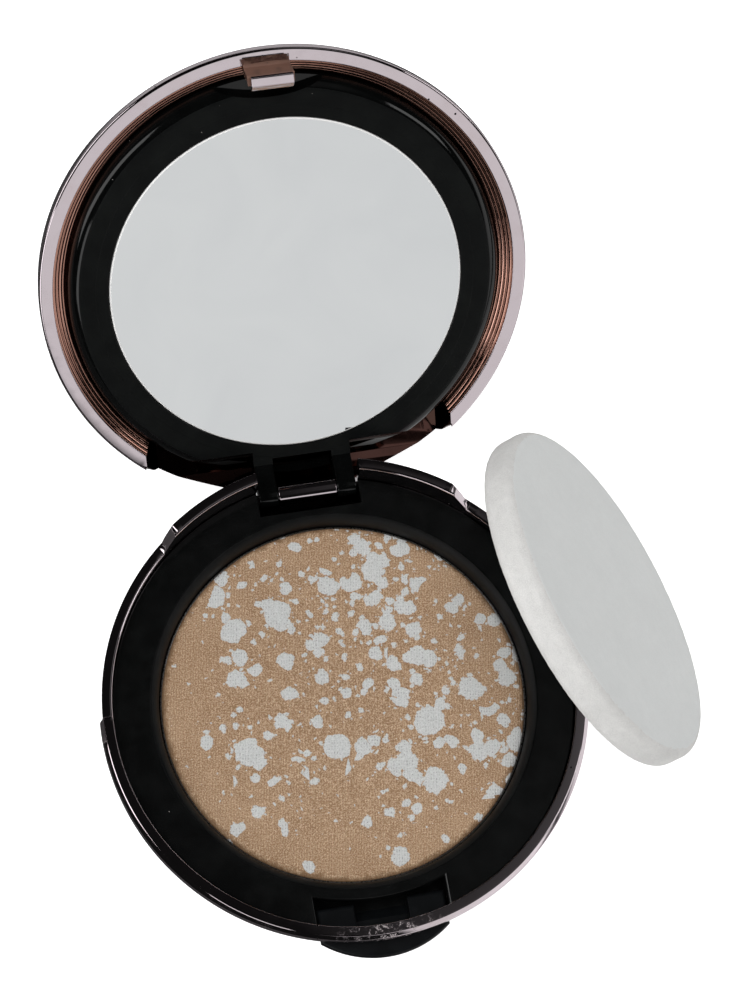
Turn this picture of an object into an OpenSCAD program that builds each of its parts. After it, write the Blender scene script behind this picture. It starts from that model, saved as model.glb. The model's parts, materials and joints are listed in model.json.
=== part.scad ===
// Powder compact: a plated round case, its lid standing open on a rear hinge, a pressed cake in
// a round pan, a snap catch with a push button, a mirror in the lid and a loose puff beside it.
// Millimetres. Z is up and the case stands on Z = 0, centred on the Z axis.
// The hinge is towards +Y and the button towards -Y.
// The lid's parts are drawn closed and then turned open about the hinge by lid_place().

/* [Case] */
// Radius of the lid's rim and of the base's front lip
rim_r = 39.2; // [39:0.1:39.6]
// Radius of the base at its sides
side_r = 38.7; // [38.5:0.1:38.9]
// Radius of the bore inside both rims
rim_bore_r = 37; // [36.9:0.05:37.1]
// Radius of the flat foot
foot_r = 33.2; // [32:0.1:34]
// Height of the base's rim at its sides
rim_z = 12.1; // [12:0.1:12.4]
// Extra height of the raised back wall
back_rise = 3.2; // [2.8:0.1:3.4]
// Drop from the side rim to the front lip
lip_drop = 0.4; // [0.3:0.05:0.5]
// Wall of the shells
shell_t = 1.2; // [1:0.1:1.3]

/* [Tray and pan] */
// Radius of the pan
pan_r = 29.5; // [29:0.1:29.6]
// Height of the powder's surface
powder_z = 8; // [7.9:0.05:8.1]
// Height of the tray's flat ring
ring_z = 10.2; // [10:0.1:10.4]

/* [Hinge] */
// Distance of the hinge axis behind the centre
hinge_y = 35.7; // [35.6:0.05:35.8]
// Height of the hinge axis
hinge_z = 8.6; // [8.5:0.05:8.8]
// Radius of the knuckles
knuckle_r = 1.7; // [1.6:0.05:1.75]
// Radius of the hinge pin
pin_r = 0.75; // [0.6:0.05:0.8]
// Width of the centre knuckle
knuckle_w = 9.6; // [9.2:0.1:9.8]
// Angle of the open lid from closed
lid_open = 133.8; // [100:0.1:137]

/* [Lid] */
// Gap between the closed rims
rim_gap = 0.15; // [0.1:0.05:0.25]
// Height of the lid above its rim
lid_h = 6.9; // [6.8:0.1:7.4]
// How far the mirror frame stands out of the lid's rim
frame_proud = 1; // [0.8:0.05:1.1]
// Radius of the mirror frame
frame_r = 34.6; // [34.2:0.1:34.8]
// Radius of the mirror
mirror_r = 28.2; // [27:0.1:28.4]
// Thickness of the mirror
mirror_t = 1.8; // [1.4:0.1:1.9]

/* [Catch and button] */
// Width of the hook
hook_w = 7.3; // [6.5:0.1:7.6]
// How far the hook stands out of the lid's rim
hook_h = 5.2; // [4.8:0.1:5.4]
// Width of the button
button_w = 20.6; // [20:0.1:20.8]
// How far the button stands out of the lip
button_out = 2.4; // [2:0.1:3]

/* [Puff] */
// Radius of the puff
puff_r = 28.5; // [27:0.1:29]
// Thickness of the puff
puff_t = 5.5; // [4.5:0.1:5.7]
// Lean of the puff from upright
puff_lean = 33.4; // [32:0.1:35]
// Heading of the puff's face, from +X
puff_head = 11.6; // [8:0.1:14]
// Distance of the puff's centre to the right of the case's centre
puff_x = 40.2; // [40:0.1:46]
// Distance of the puff's centre behind the case's centre
puff_y = 6.3; // [2:0.1:8]

/* [Hidden] */
$fn = 96;

// Slack where two pieces of one body meet, how far a cutter overshoots what it cuts, and a length
// that cuts right through
fit = 0.1;
over = 1;
far = 60;

// Base: heights and the rounded flank between foot and wall
wall_z = 8;
bowl_inset = 0.6;
bowl_drop = 0.4;
back_r = side_r + 0.1;
back_z = rim_z + back_rise;
lip_z = rim_z - lip_drop;
back_half_top = 22.9;
back_half_foot = 25;
back_front_y = 10;
lip_start_y = 2.2;
lip_flat = 1.5;
lip_bevel = 0.7;
lip_band = 1.6;
ring_w = 1.5;

// Tray
well_r = pan_r + 0.15;
well_fillet = 1.55;
well_fillet_h = 1.9;
tray_floor_z = 4;
tray_floor_t = 0.8;
tray_t = 1.1;
tray_r = rim_bore_r - fit;
tray_chamfer = 0.2;
tray_step = 0.6;
tray_skirt_z = 7.4;
rest_ring_r = 24;

// Pan, its adhesive and the cake
glue_t = 0.15;
glue_r = 20;
pan_t = 0.3;
pan_rim_z = powder_z - 0.05;
cake_edge = 0.25;

// Catch recess in the tray and the button in it
recess_half = 10.5;
recess_r = 32.6;
recess_floor_z = 4.5;
pocket_wall = 1;
pocket_in_r = 31.2;
pocket_top_z = 8.5;
pocket_out_r = 35.6;
button_top_z = 8.3;
button_low_z = 4.65;
button_arm_y = -32.6;
button_side_y = -38;
slot_half = 4.25;
slot_y = 38.1;
ramp_z = 6.1;
ramp_y = -35.6;
ramp_low_z = 5.25;
window_slack = 0.12;
window_in_y = 20;

// Hinge: notch, knuckle and pin
notch_half = 8.4;
notch_front_y = 31.9;
notch_floor_z = 4.8;
notch_deep_y = 33.5;
pedestal_y = 34.3;
pedestal_z = 2.2;
pedestal_back = 1;
pedestal_slope = 1.2;
arm_in = knuckle_w / 2 + 0.1;
arm_out = 8.05;
run_slack = 0.05;
arm_low = 219;
arm_high = 26;
arm_y = 31.2;
arm_back_y = 34;
arm_back_s = 1.5;
arm_top_y = 33.6;
pin_half = 7.95;

// Swing room about the hinge for the parts that pass over the raised back wall
swing_r = 7.5;
swing_half = 25.5;
over_back = 0.45;

// Hook: its seat in the rim, its outer face, its neck and its barb
seat_out_y = -38.2;
hook_y = -36.6;
neck_y = -35.3;
barb_y = -34.2;
hook_seat_h = 0.9;
hook_root = 0.3;
barb_t = 0.9;
barb_slope = 0.7;

// Lid: s is the height above the closed lid's rim
lid_z = rim_z + rim_gap;
dome_r = 23.2;
dome_s = 1.2;
dome_top = 0.3;
dome_h = lid_h - dome_top - dome_s;
bore_inset = 0.5;
roof_in_h = dome_h - shell_t + fit;
band_round = 0.4;
frame_flat_r = 32.4;
mirror_sink = 0.03;
shoulder_h = 1.9;
tape_t = 0.12;
pocket_s = mirror_t + tape_t + mirror_sink - frame_proud;
web_t = 1;
rib_in_r = 31;
rib_out_r = 32.4;
rib_s = 3.95;
wall_top_s = 3;
frame_wall = 1.3;
relief_r = 22;
relief_y = 31.8;
recess_in_y = 30.2;
recess_in_s = 2;

// Puff: its rounded edge, and its gap above the surface that the case stands on
puff_edge = 1.6;
puff_gap = 0.05;

function arc(cx, cy, rx, ry, a0, a1, n) =
    [for (i = [0:n]) let (a = a0 + (a1 - a0) * i / n) [cx + rx * cos(a), cy + ry * sin(a)]];

// Turns what is drawn on the closed lid open about the hinge axis
module lid_place() {
    translate([0, hinge_y, hinge_z]) rotate([-lid_open, 0, 0]) translate([0, -hinge_y, -hinge_z])
        children();
}

// A bar along X between x0 and x1, its section given in the Y-Z plane
module bar_x(x0, x1) {
    translate([x0, 0, 0]) rotate([90, 0, 90]) linear_extrude(x1 - x0) children();
}

// The raised back wall's outline seen from behind, grown by g
module back_outline(g) {
    polygon([[-back_half_foot - g, rim_z - fit], [back_half_foot + g, rim_z - fit],
        [back_half_foot + g, rim_z], [back_half_top + g, back_z + g],
        [-back_half_top - g, back_z + g], [-back_half_foot - g, rim_z]]);
}

module back_block(g) {
    translate([0, far, 0]) rotate([90, 0, 0]) linear_extrude(far - back_front_y)
        back_outline(g);
}

module base_body() {
    rotate_extrude() polygon(concat(
        [[0, 0]],
        arc(foot_r, wall_z, side_r - foot_r, wall_z, -90, 0, 20),
        [[side_r, rim_z], [rim_bore_r, rim_z]],
        arc(foot_r - bowl_inset, wall_z - bowl_drop, rim_bore_r - foot_r + bowl_inset,
            wall_z - bowl_drop - shell_t, 0, -90, 16),
        [[0, shell_t]]));
}

// The front lip: a flat top, then a bevel that falls outward
module front_lip() {
    difference() {
        rotate_extrude() polygon([[rim_bore_r, wall_z], [rim_bore_r, lip_z],
            [rim_bore_r + lip_flat, lip_z], [rim_r, lip_z - lip_bevel],
            [rim_r, lip_z - lip_bevel - lip_band], [side_r - fit, wall_z]]);
        translate([-far, lip_start_y, 0]) cube([2 * far, far, far]);
    }
}

module raised_back() {
    intersection() {
        rotate_extrude() translate([rim_bore_r, rim_z - fit])
            square([back_r - rim_bore_r, back_rise + fit]);
        back_block(0);
    }
}

module rest_ring() {
    rotate_extrude() translate([rest_ring_r, shell_t - fit])
        square([ring_w, tray_floor_z - tray_floor_t - shell_t + fit]);
}

module base_shell() {
    color([0.78, 0.62, 0.58])
    difference() {
        union() {
            difference() {
                union() {
                    base_body();
                    raised_back();
                    front_lip();
                    rest_ring();
                }
                // the front half's rim gives way to the lip
                translate([-far, lip_start_y - far, lip_z]) cube([2 * far, far, far]);
                // hinge notch through the back wall
                translate([-notch_half, notch_front_y, notch_floor_z])
                    cube([2 * notch_half, far, far]);
                // window for the button
                translate([-button_w / 2 - window_slack, -far, button_low_z - window_slack])
                    cube([button_w + 2 * window_slack, far - window_in_y,
                        button_top_z - button_low_z + 2 * window_slack]);
            }
            // the centre knuckle on its pedestal
            bar_x(-knuckle_w / 2, knuckle_w / 2) {
                translate([hinge_y, hinge_z]) circle(knuckle_r);
                polygon([[pedestal_y, pedestal_z], [hinge_y + pedestal_back, pedestal_z],
                    [hinge_y + knuckle_r, notch_floor_z], [hinge_y + knuckle_r, hinge_z],
                    [hinge_y - pin_r, hinge_z], [pedestal_y, hinge_z - pedestal_slope]]);
            }
        }
        translate([-far / 2, hinge_y, hinge_z]) rotate([0, 90, 0]) cylinder(r = pin_r, h = far);
    }
}

module tray_body() {
    rotate_extrude() polygon(concat(
        [[0, tray_floor_z - tray_floor_t], [well_r + tray_t, tray_floor_z - tray_floor_t],
        [well_r + tray_t, ring_z - tray_t - tray_step], [tray_r - tray_t, ring_z - tray_t],
        [tray_r - tray_t, tray_skirt_z], [tray_r, tray_skirt_z], [tray_r, ring_z - tray_chamfer],
        [tray_r - tray_chamfer, ring_z]],
        arc(well_r + well_fillet, ring_z - well_fillet_h, well_fillet, well_fillet_h, 90, 180, 10),
        [[well_r, tray_floor_z], [0, tray_floor_z]]));
}

// The stretch of a ring between two radii that is narrower than half_w each side, at the front
module front_stretch(r0, r1, half_w, z0, z1) {
    intersection() {
        difference() {
            translate([0, 0, z0]) cylinder(r = r1, h = z1 - z0);
            translate([0, 0, z0 - over]) cylinder(r = r0, h = z1 - z0 + 2 * over);
        }
        translate([-half_w, -far, z0 - over]) cube([2 * half_w, far, z1 - z0 + 2 * over]);
    }
}

module inner_tray() {
    color([0.05, 0.05, 0.05])
    difference() {
        union() {
            tray_body();
            front_stretch(pocket_in_r - pocket_wall, pocket_out_r, recess_half + pocket_wall,
                recess_floor_z - pocket_wall, ring_z - tray_chamfer - fit);
        }
        // the open recess, and the room beneath its edge that the button slides into
        front_stretch(recess_r, far, recess_half, recess_floor_z, ring_z + over);
        front_stretch(pocket_in_r, far, recess_half, recess_floor_z, pocket_top_z);
        // hinge notch
        translate([-notch_half, notch_front_y, notch_floor_z - over])
            cube([2 * notch_half, far, far]);
        translate([-notch_half, notch_deep_y, 0]) cube([2 * notch_half, far, far]);
    }
}

module pan_adhesive() {
    color([0.85, 0.85, 0.8])
    translate([0, 0, tray_floor_z]) cylinder(r = glue_r, h = glue_t);
}

module powder_pan() {
    color([0.75, 0.75, 0.75])
    difference() {
        translate([0, 0, tray_floor_z + glue_t])
            cylinder(r = pan_r, h = pan_rim_z - tray_floor_z - glue_t);
        translate([0, 0, tray_floor_z + glue_t + pan_t]) cylinder(r = pan_r - pan_t, h = far);
    }
}

module pressed_powder() {
    color([0.8, 0.66, 0.5])
    rotate_extrude() polygon([[0, tray_floor_z + glue_t + pan_t],
        [pan_r - pan_t, tray_floor_z + glue_t + pan_t], [pan_r - pan_t, powder_z - cake_edge],
        [pan_r - pan_t - cake_edge, powder_z], [0, powder_z]]);
}

// Outline of the button from above: a bow outside the case and straight sides within it
module button_outline() {
    bow_y = rim_r + button_out;
    sag = bow_y + button_side_y;
    bow_r = (pow(button_w / 2, 2) + sag * sag) / (2 * sag);
    intersection() {
        union() {
            translate([0, bow_r - bow_y]) circle(bow_r);
            translate([-button_w / 2, button_side_y]) square([button_w, far]);
        }
        translate([-button_w / 2, -far]) square([button_w, far + button_arm_y]);
    }
}

module push_button() {
    color([0.06, 0.06, 0.06])
    difference() {
        translate([0, 0, button_low_z]) linear_extrude(button_top_z - button_low_z) button_outline();
        // the slot for the hook, with the ramp that lifts it
        bar_x(-slot_half, slot_half)
            polygon([[-slot_y, button_top_z + over], [-slot_y, ramp_z], [ramp_y, ramp_z],
                [button_arm_y + over, ramp_low_z], [button_arm_y + over, button_top_z + over]]);
    }
}

module hinge_pin() {
    color([0.7, 0.7, 0.7])
    translate([-pin_half, hinge_y, hinge_z]) rotate([0, 90, 0]) cylinder(r = pin_r, h = 2 * pin_half);
}

module lid_body() {
    translate([0, 0, lid_z]) rotate_extrude() polygon(concat(
        [[rim_bore_r, 0], [rim_r - band_round, 0]],
        arc(rim_r - band_round, band_round, band_round, band_round, -60, 0, 4),
        arc(dome_r, dome_s, rim_r - dome_r, dome_h, 0, 90, 24),
        [[0, lid_h], [0, lid_h - shell_t]],
        arc(dome_r, dome_s, rim_bore_r - bore_inset - dome_r, roof_in_h, 90, 0, 20)));
}

module swing_room(x0, x1, r) {
    translate([x0, hinge_y, hinge_z]) rotate([0, 90, 0]) cylinder(r = r, h = x1 - x0);
}

module catch_seat() {
    translate([-hook_w / 2, seat_out_y, lid_z]) cube([hook_w, neck_y - seat_out_y, hook_seat_h]);
}

module lid_shell() {
    color([0.85, 0.7, 0.66])
    lid_place() difference() {
        lid_body();
        back_block(over_back);
        swing_room(-swing_half, swing_half, swing_r);
        catch_seat();
    }
}

module lid_catch() {
    color([0.8, 0.62, 0.56])
    lid_place() union() {
        catch_seat();
        bar_x(-hook_w / 2, hook_w / 2)
            polygon([[hook_y - hook_root, lid_z], [hook_y, lid_z - hook_root],
                [hook_y, lid_z - hook_h], [barb_y, lid_z - hook_h], [barb_y, lid_z - hook_h + barb_t],
                [neck_y, lid_z - hook_h + barb_t + barb_slope], [neck_y, lid_z]]);
    }
}

module frame_body() {
    translate([0, 0, lid_z]) rotate_extrude() polygon(concat(
        [[mirror_r + fit, -frame_proud]],
        arc(frame_flat_r, shoulder_h - frame_proud, frame_r - frame_flat_r, shoulder_h, -90, 0, 10),
        [[frame_r, wall_top_s], [frame_r - frame_wall, wall_top_s],
        [frame_r - frame_wall, pocket_s + web_t], [rib_out_r, pocket_s + web_t],
        [rib_out_r, rib_s], [rib_in_r, rib_s], [rib_in_r, pocket_s + web_t],
        [0, pocket_s + web_t], [0, pocket_s], [mirror_r + fit, pocket_s]]));
}

// One arm of the frame, from the ring to its knuckle
module frame_arm() {
    bar_x(arm_in, arm_out) difference() {
        union() {
            translate([hinge_y, hinge_z]) circle(knuckle_r);
            polygon([[arm_y, lid_z - frame_proud],
                [hinge_y + knuckle_r * cos(arm_low), hinge_z + knuckle_r * sin(arm_low)],
                [hinge_y + knuckle_r * cos(arm_high), hinge_z + knuckle_r * sin(arm_high)],
                [arm_back_y, lid_z + arm_back_s], [arm_top_y, lid_z + wall_top_s],
                [arm_y, lid_z + wall_top_s]]);
        }
        translate([hinge_y, hinge_z]) circle(pin_r + run_slack);
    }
}

module mirror_frame() {
    color([0.08, 0.08, 0.08])
    lid_place() union() {
        difference() {
            frame_body();
            // swing room beside the arms, and the dark pocket between them
            swing_room(arm_out, swing_half, swing_r);
            swing_room(-swing_half, -arm_out, swing_r);
            translate([-arm_in, recess_in_y, 0]) cube([2 * arm_in, far, lid_z + recess_in_s]);
            // hollow in the shoulder around the hook
            translate([0, -relief_y - relief_r, 0]) cylinder(r = relief_r, h = lid_z + pocket_s);
        }
        frame_arm();
        mirror([1, 0, 0]) frame_arm();
    }
}

module mirror_adhesive() {
    color([0.9, 0.9, 0.85])
    lid_place() translate([0, 0, lid_z + pocket_s - tape_t]) cylinder(r = glue_r, h = tape_t);
}

module mirror_glass() {
    color([0.8, 0.82, 0.84])
    lid_place() translate([0, 0, lid_z + pocket_s - tape_t - mirror_t])
        cylinder(r = mirror_r, h = mirror_t);
}

module puff_section() {
    polygon(concat([[0, -puff_t / 2]],
        arc(puff_r - puff_edge, puff_edge - puff_t / 2, puff_edge, puff_edge, -90, 0, 8),
        arc(puff_r - puff_edge, puff_t / 2 - puff_edge, puff_edge, puff_edge, 0, 90, 8),
        [[0, puff_t / 2]]));
}

module powder_puff() {
    puff_z = puff_gap + cos(puff_lean) * (puff_r - puff_edge)
        + sin(puff_lean) * (puff_t / 2 - puff_edge) + puff_edge;
    color("white")
    translate([puff_x, puff_y, puff_z]) rotate([0, 90 - puff_lean, puff_head])
        rotate_extrude() puff_section();
}

base_shell();
inner_tray();
pan_adhesive();
powder_pan();
pressed_powder();
push_button();
hinge_pin();
lid_shell();
lid_catch();
mirror_frame();
mirror_adhesive();
mirror_glass();
powder_puff();
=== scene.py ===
"""Looks of the powder compact: smooth fine-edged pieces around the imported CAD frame."""

import json
import math

import bmesh
import bpy
import numpy as np
from mathutils import Matrix, Vector


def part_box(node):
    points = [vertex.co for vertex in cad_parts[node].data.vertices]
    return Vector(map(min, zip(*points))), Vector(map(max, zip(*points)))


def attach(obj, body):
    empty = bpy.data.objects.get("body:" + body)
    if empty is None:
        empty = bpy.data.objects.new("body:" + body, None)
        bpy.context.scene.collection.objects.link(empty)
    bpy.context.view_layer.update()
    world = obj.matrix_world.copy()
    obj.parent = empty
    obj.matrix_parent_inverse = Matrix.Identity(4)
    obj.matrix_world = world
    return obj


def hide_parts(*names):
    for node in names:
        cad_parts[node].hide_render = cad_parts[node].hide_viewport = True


MM = 0.001

# Case, in millimetres, as in the CAD
RIM_R = 39.2
SIDE_R = 38.7
BACK_R = 38.8
BORE_R = 37.0
FOOT_R = 33.2
WALL_Z = 8.0
RIM_Z = 12.1
LIP_Z = 11.7
BACK_Z = 15.3
BACK_HALF_TOP = 22.9
BACK_HALF_FOOT = 25.0
LIP_START_Y = 2.2
SHELL_T = 1.2

# Tray, pan and cake
RING_Z = 10.2
WELL_R = 29.65
TRAY_FLOOR_Z = 4.0
TRAY_R = 36.9
CAKE_R = 29.2
CAKE_FLAT_R = 27.4
CAKE_Z = 8.0
RIB_PITCH = 0.43
PRINT_TURN = 10
PAN_R = 29.5
PAN_Z = 7.4

# Catch recess and button
RECESS_HALF = 10.5
RECESS_R = 32.6
RECESS_FLOOR_Z = 4.5
POCKET_IN_R = 31.2
POCKET_TOP_Z = 8.5
BUTTON_HALF = 10.3
BUTTON_GAP = 0.12
BUTTON_LOW_Z = 4.65
BUTTON_TOP_Z = 8.3
BUTTON_BOW_Y = 41.6
BUTTON_ARM_Y = 32.6
BUTTON_SIDE_Y = 38.0
SLOT_HALF = 4.25
SLOT_Y = 38.1
RAMP_Z = 6.1

# Hinge
NOTCH_HALF = 8.4
NOTCH_Y = 31.9
NOTCH_Z = 4.8
KNUCKLE_R = 1.7
KNUCKLE_HALF = 4.8
ARM_IN = 4.9
ARM_OUT = 8.05
LID_OPEN = 133.8
SWING_R = 7.5
SWING_HALF = 25.5
BACK_GAP = 0.45

# Lid, drawn closed
LID_Z = 12.25
LID_H = 6.9
DOME_R = 23.2
FRAME_R = 34.6
FRAME_FLAT_R = 32.4
FRAME_PROUD = 1.0
SCORED_R = 30.35
MIRROR_R = 28.2
MIRROR_T = 1.8
POCKET_S = 0.95
HOOK_HALF = 3.65
HOOK_H = 5.2

# Puff
PUFF_R = 28.5
PUFF_T = 5.5
PUFF_LEAN = 33.4
PUFF_HEAD = 11.6

# Camera: where it stands, what it looks at and which way is up in the picture
CAMERA_PLACE = Vector((-47.5, -102.5, 436.25))
CAMERA_AIM = Vector((10.9, 32.6, 8.0))
CAMERA_UP = Vector((0.1427, 0.9381, 0.3155))
CAMERA_LENS = 98.9

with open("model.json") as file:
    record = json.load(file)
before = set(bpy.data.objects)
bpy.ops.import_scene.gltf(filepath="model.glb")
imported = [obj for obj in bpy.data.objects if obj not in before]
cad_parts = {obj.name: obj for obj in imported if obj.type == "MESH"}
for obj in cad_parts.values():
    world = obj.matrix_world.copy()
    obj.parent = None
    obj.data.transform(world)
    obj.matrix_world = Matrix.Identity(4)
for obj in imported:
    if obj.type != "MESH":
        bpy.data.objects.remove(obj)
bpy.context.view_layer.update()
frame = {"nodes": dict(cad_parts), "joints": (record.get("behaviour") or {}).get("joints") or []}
HINGE = Vector(next(j for j in frame["joints"] if j["name"] == "lid_hinge")["pos_m"])


# ---------------------------------------------------------------- mesh helpers
def arc(cx, cy, rx, ry, start, end, steps):
    angles = np.radians(np.linspace(start, end, steps + 1))
    return [(cx + rx * math.cos(a), cy + ry * math.sin(a), 0) for a in angles]


def outline(corners, steps=4):
    """Points of a closed outline. Each corner is (x, y, rounding)."""
    points = []
    count = len(corners)
    for i, (x, y, rounding) in enumerate(corners):
        p = np.array((x, y), float)
        if not rounding:
            points.append(p)
            continue
        a = np.array(corners[i - 1][:2], float) - p
        b = np.array(corners[(i + 1) % count][:2], float) - p
        start = p + a / np.linalg.norm(a) * rounding
        end = p + b / np.linalg.norm(b) * rounding
        for t in np.linspace(0, 1, steps + 1):
            points.append((1 - t) ** 2 * start + 2 * t * (1 - t) * p + t * t * end)
    return np.array(points)


def from_bmesh(name, bm):
    bmesh.ops.remove_doubles(bm, verts=bm.verts, dist=1e-6)
    bmesh.ops.dissolve_degenerate(bm, edges=bm.edges, dist=1e-7)
    bmesh.ops.recalc_face_normals(bm, faces=bm.faces)
    mesh = bpy.data.meshes.new(name)
    bm.to_mesh(mesh)
    bm.free()
    piece = bpy.data.objects.new(name, mesh)
    bpy.context.scene.collection.objects.link(piece)
    return piece


def skin(name, rings, ring_closed=True, caps=True, rows_closed=False):
    """A mesh over rows of points, all rows of one length, in millimetres."""
    bm = bmesh.new()
    rows = [[bm.verts.new(Vector(p) * MM) for p in ring] for ring in rings]
    count = len(rows[0])
    last_row = len(rows) if rows_closed else len(rows) - 1
    last_col = count if ring_closed else count - 1
    for i in range(last_row):
        a, b = rows[i], rows[(i + 1) % len(rows)]
        for j in range(last_col):
            k = (j + 1) % count
            bm.faces.new((a[j], a[k], b[k], b[j]))
    if caps:
        bm.faces.new(rows[0])
        bm.faces.new(rows[-1])
    return from_bmesh(name, bm)


def revolve(name, profile, angles=None):
    """Turns a closed profile, or one given as a function of the angle, about Z. Angle 0 is the front."""
    if angles is None:
        angles = np.linspace(0, 360, 289)[:-1]
    rings = []
    for angle in angles:
        a = math.radians(angle)
        points = profile(angle) if callable(profile) else profile
        rings.append([(r * math.sin(a), -r * math.cos(a), z) for r, z in points])
    return skin(name, rings, caps=False, rows_closed=True)


def bar_x(name, section, x0, x1):
    """A bar along X. The section holds (y, z) points."""
    return skin(name, [[(x, y, z) for y, z in section] for x in (x0, x1)])


def circle(cx, cy, r, steps=64):
    turn = np.linspace(0, 2 * math.pi, steps + 1)[:-1]
    return [(cx + r * math.cos(a), cy + r * math.sin(a)) for a in turn]


def front_bend(r, start, end):
    """33 points on the radius r, between two angles measured from the front."""
    turns = np.radians(np.linspace(start, end, 33))
    return [(r * math.sin(a), -r * math.cos(a)) for a in turns]


def around_hinge(angles):
    """Points on the knuckles' surface, in the plane across the hinge."""
    y, z = HINGE.y / MM, HINGE.z / MM
    return [(y + KNUCKLE_R * math.cos(a), z + KNUCKLE_R * math.sin(a)) for a in angles]


def box(name, x0, x1, y0, y1, z0, z1):
    return bar_x(name, [(y0, z0), (y1, z0), (y1, z1), (y0, z1)], x0, x1)


def applied(piece):
    shape = piece.evaluated_get(bpy.context.evaluated_depsgraph_get())
    mesh = bpy.data.meshes.new_from_object(shape)
    piece.modifiers.clear()
    piece.data = mesh


def carve(piece, *cutters, operation="DIFFERENCE"):
    for cutter in cutters:
        modifier = piece.modifiers.new("carve", "BOOLEAN")
        modifier.operation = operation
        modifier.solver = "EXACT"
        modifier.object = cutter
        bpy.context.view_layer.update()
        applied(piece)
        bpy.data.objects.remove(cutter)
    return piece


def soften(piece, width, segments=2, angle=40):
    """Rounds a plain solid's sharp edges."""
    modifier = piece.modifiers.new("soften", "BEVEL")
    modifier.width = width * MM
    modifier.segments = segments
    modifier.limit_method = "ANGLE"
    modifier.angle_limit = math.radians(angle)
    bpy.context.view_layer.update()
    applied(piece)
    return piece


def smooth(piece, angle=32, weighted=True):
    piece.data.shade_smooth()
    piece.data.set_sharp_from_angle(angle=math.radians(angle))
    if weighted:
        modifier = piece.modifiers.new("flat_faces", "WEIGHTED_NORMAL")
        modifier.keep_sharp = True
        modifier.weight = 100


def dress(piece, body, slot, *materials, node=None, opened=False):
    """Puts a finished piece in the model: its materials, its body and the CAD node it stands for."""
    for material in materials:
        piece.data.materials.append(material)
    if opened:
        piece.data.transform(LID_TURN)
    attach(piece, body)
    if node:
        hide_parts(node)
    return piece


LID_TURN = (
    Matrix.Translation(HINGE)
    @ Matrix.Rotation(math.radians(-LID_OPEN), 4, "X")
    @ Matrix.Translation(-HINGE)
)


# ------------------------------------------------------------ material helpers
def new_material(name):
    material = bpy.data.materials.new(name)
    material.use_nodes = True
    tree = material.node_tree
    return material, tree, tree.nodes["Principled BSDF"]


def add(tree, kind, inputs=None, **settings):
    """A shader node. Inputs are numbers, colours or other nodes' outputs, by socket name or place."""
    node = tree.nodes.new(kind)
    for key, value in settings.items():
        setattr(node, key, value)
    for key, value in (inputs or {}).items():
        socket = node.inputs[key]
        if isinstance(value, bpy.types.NodeSocket):
            tree.links.new(value, socket)
        else:
            socket.default_value = value
    return node


def place(tree, opened=False):
    """Object coordinates in millimetres. For the lid's pieces they can be those of the closed lid."""
    coords = add(tree, "ShaderNodeTexCoord")
    scaled = add(
        tree, "ShaderNodeVectorMath",
        {0: coords.outputs["Object"], "Scale": 1 / MM}, operation="SCALE",
    )
    if not opened:
        return scaled.outputs[0]
    turned = add(
        tree, "ShaderNodeVectorRotate",
        {"Vector": scaled.outputs[0], "Center": HINGE / MM, "Angle": math.radians(LID_OPEN)},
        rotation_type="X_AXIS",
    )
    return turned.outputs[0]


def noise(tree, where, size, detail=2.0, roughness=0.5, output="Fac"):
    node = add(
        tree, "ShaderNodeTexNoise",
        {"Vector": where, "Scale": 1 / size, "Detail": detail, "Roughness": roughness},
    )
    return node.outputs[output]


def ramp(tree, value, low, high, out_low=0.0, out_high=1.0):
    node = add(
        tree, "ShaderNodeMapRange",
        {"Value": value, "From Min": low, "From Max": high, "To Min": out_low, "To Max": out_high},
    )
    return node.outputs["Result"]


def math_node(tree, operation, a, b=0.0):
    return add(tree, "ShaderNodeMath", {0: a, 1: b}, operation=operation).outputs[0]


def times(tree, a, b):
    return math_node(tree, "MULTIPLY", a, b)


def mix(tree, factor, a, b):
    """Blends two colours."""
    node = tree.nodes.new("ShaderNodeMix")
    node.data_type = "RGBA"
    for socket, value in ((node.inputs[0], factor), (node.inputs[6], a), (node.inputs[7], b)):
        if isinstance(value, bpy.types.NodeSocket):
            tree.links.new(value, socket)
        elif isinstance(value, tuple):
            socket.default_value = (*value, 1)
        else:
            socket.default_value = value
    return node.outputs[2]


def bump(tree, height, distance, normal=None):
    inputs = {"Height": height, "Distance": distance * MM, "Strength": 1.0}
    if normal is not None:
        inputs["Normal"] = normal
    return add(tree, "ShaderNodeBump", inputs).outputs[0]


def specks(tree, where, pitch, size, share):
    """1 inside rare round specks, 0 elsewhere."""
    cells = add(
        tree, "ShaderNodeTexVoronoi", {"Vector": where, "Scale": 1 / pitch, "Randomness": 1.0}
    )
    near = ramp(tree, cells.outputs["Distance"], size / pitch, size / pitch * 0.7)
    pick = add(tree, "ShaderNodeSeparateColor", {0: cells.outputs["Color"]}).outputs[0]
    chosen = math_node(tree, "LESS_THAN", pick, share)
    return times(tree, near, chosen)


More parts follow.
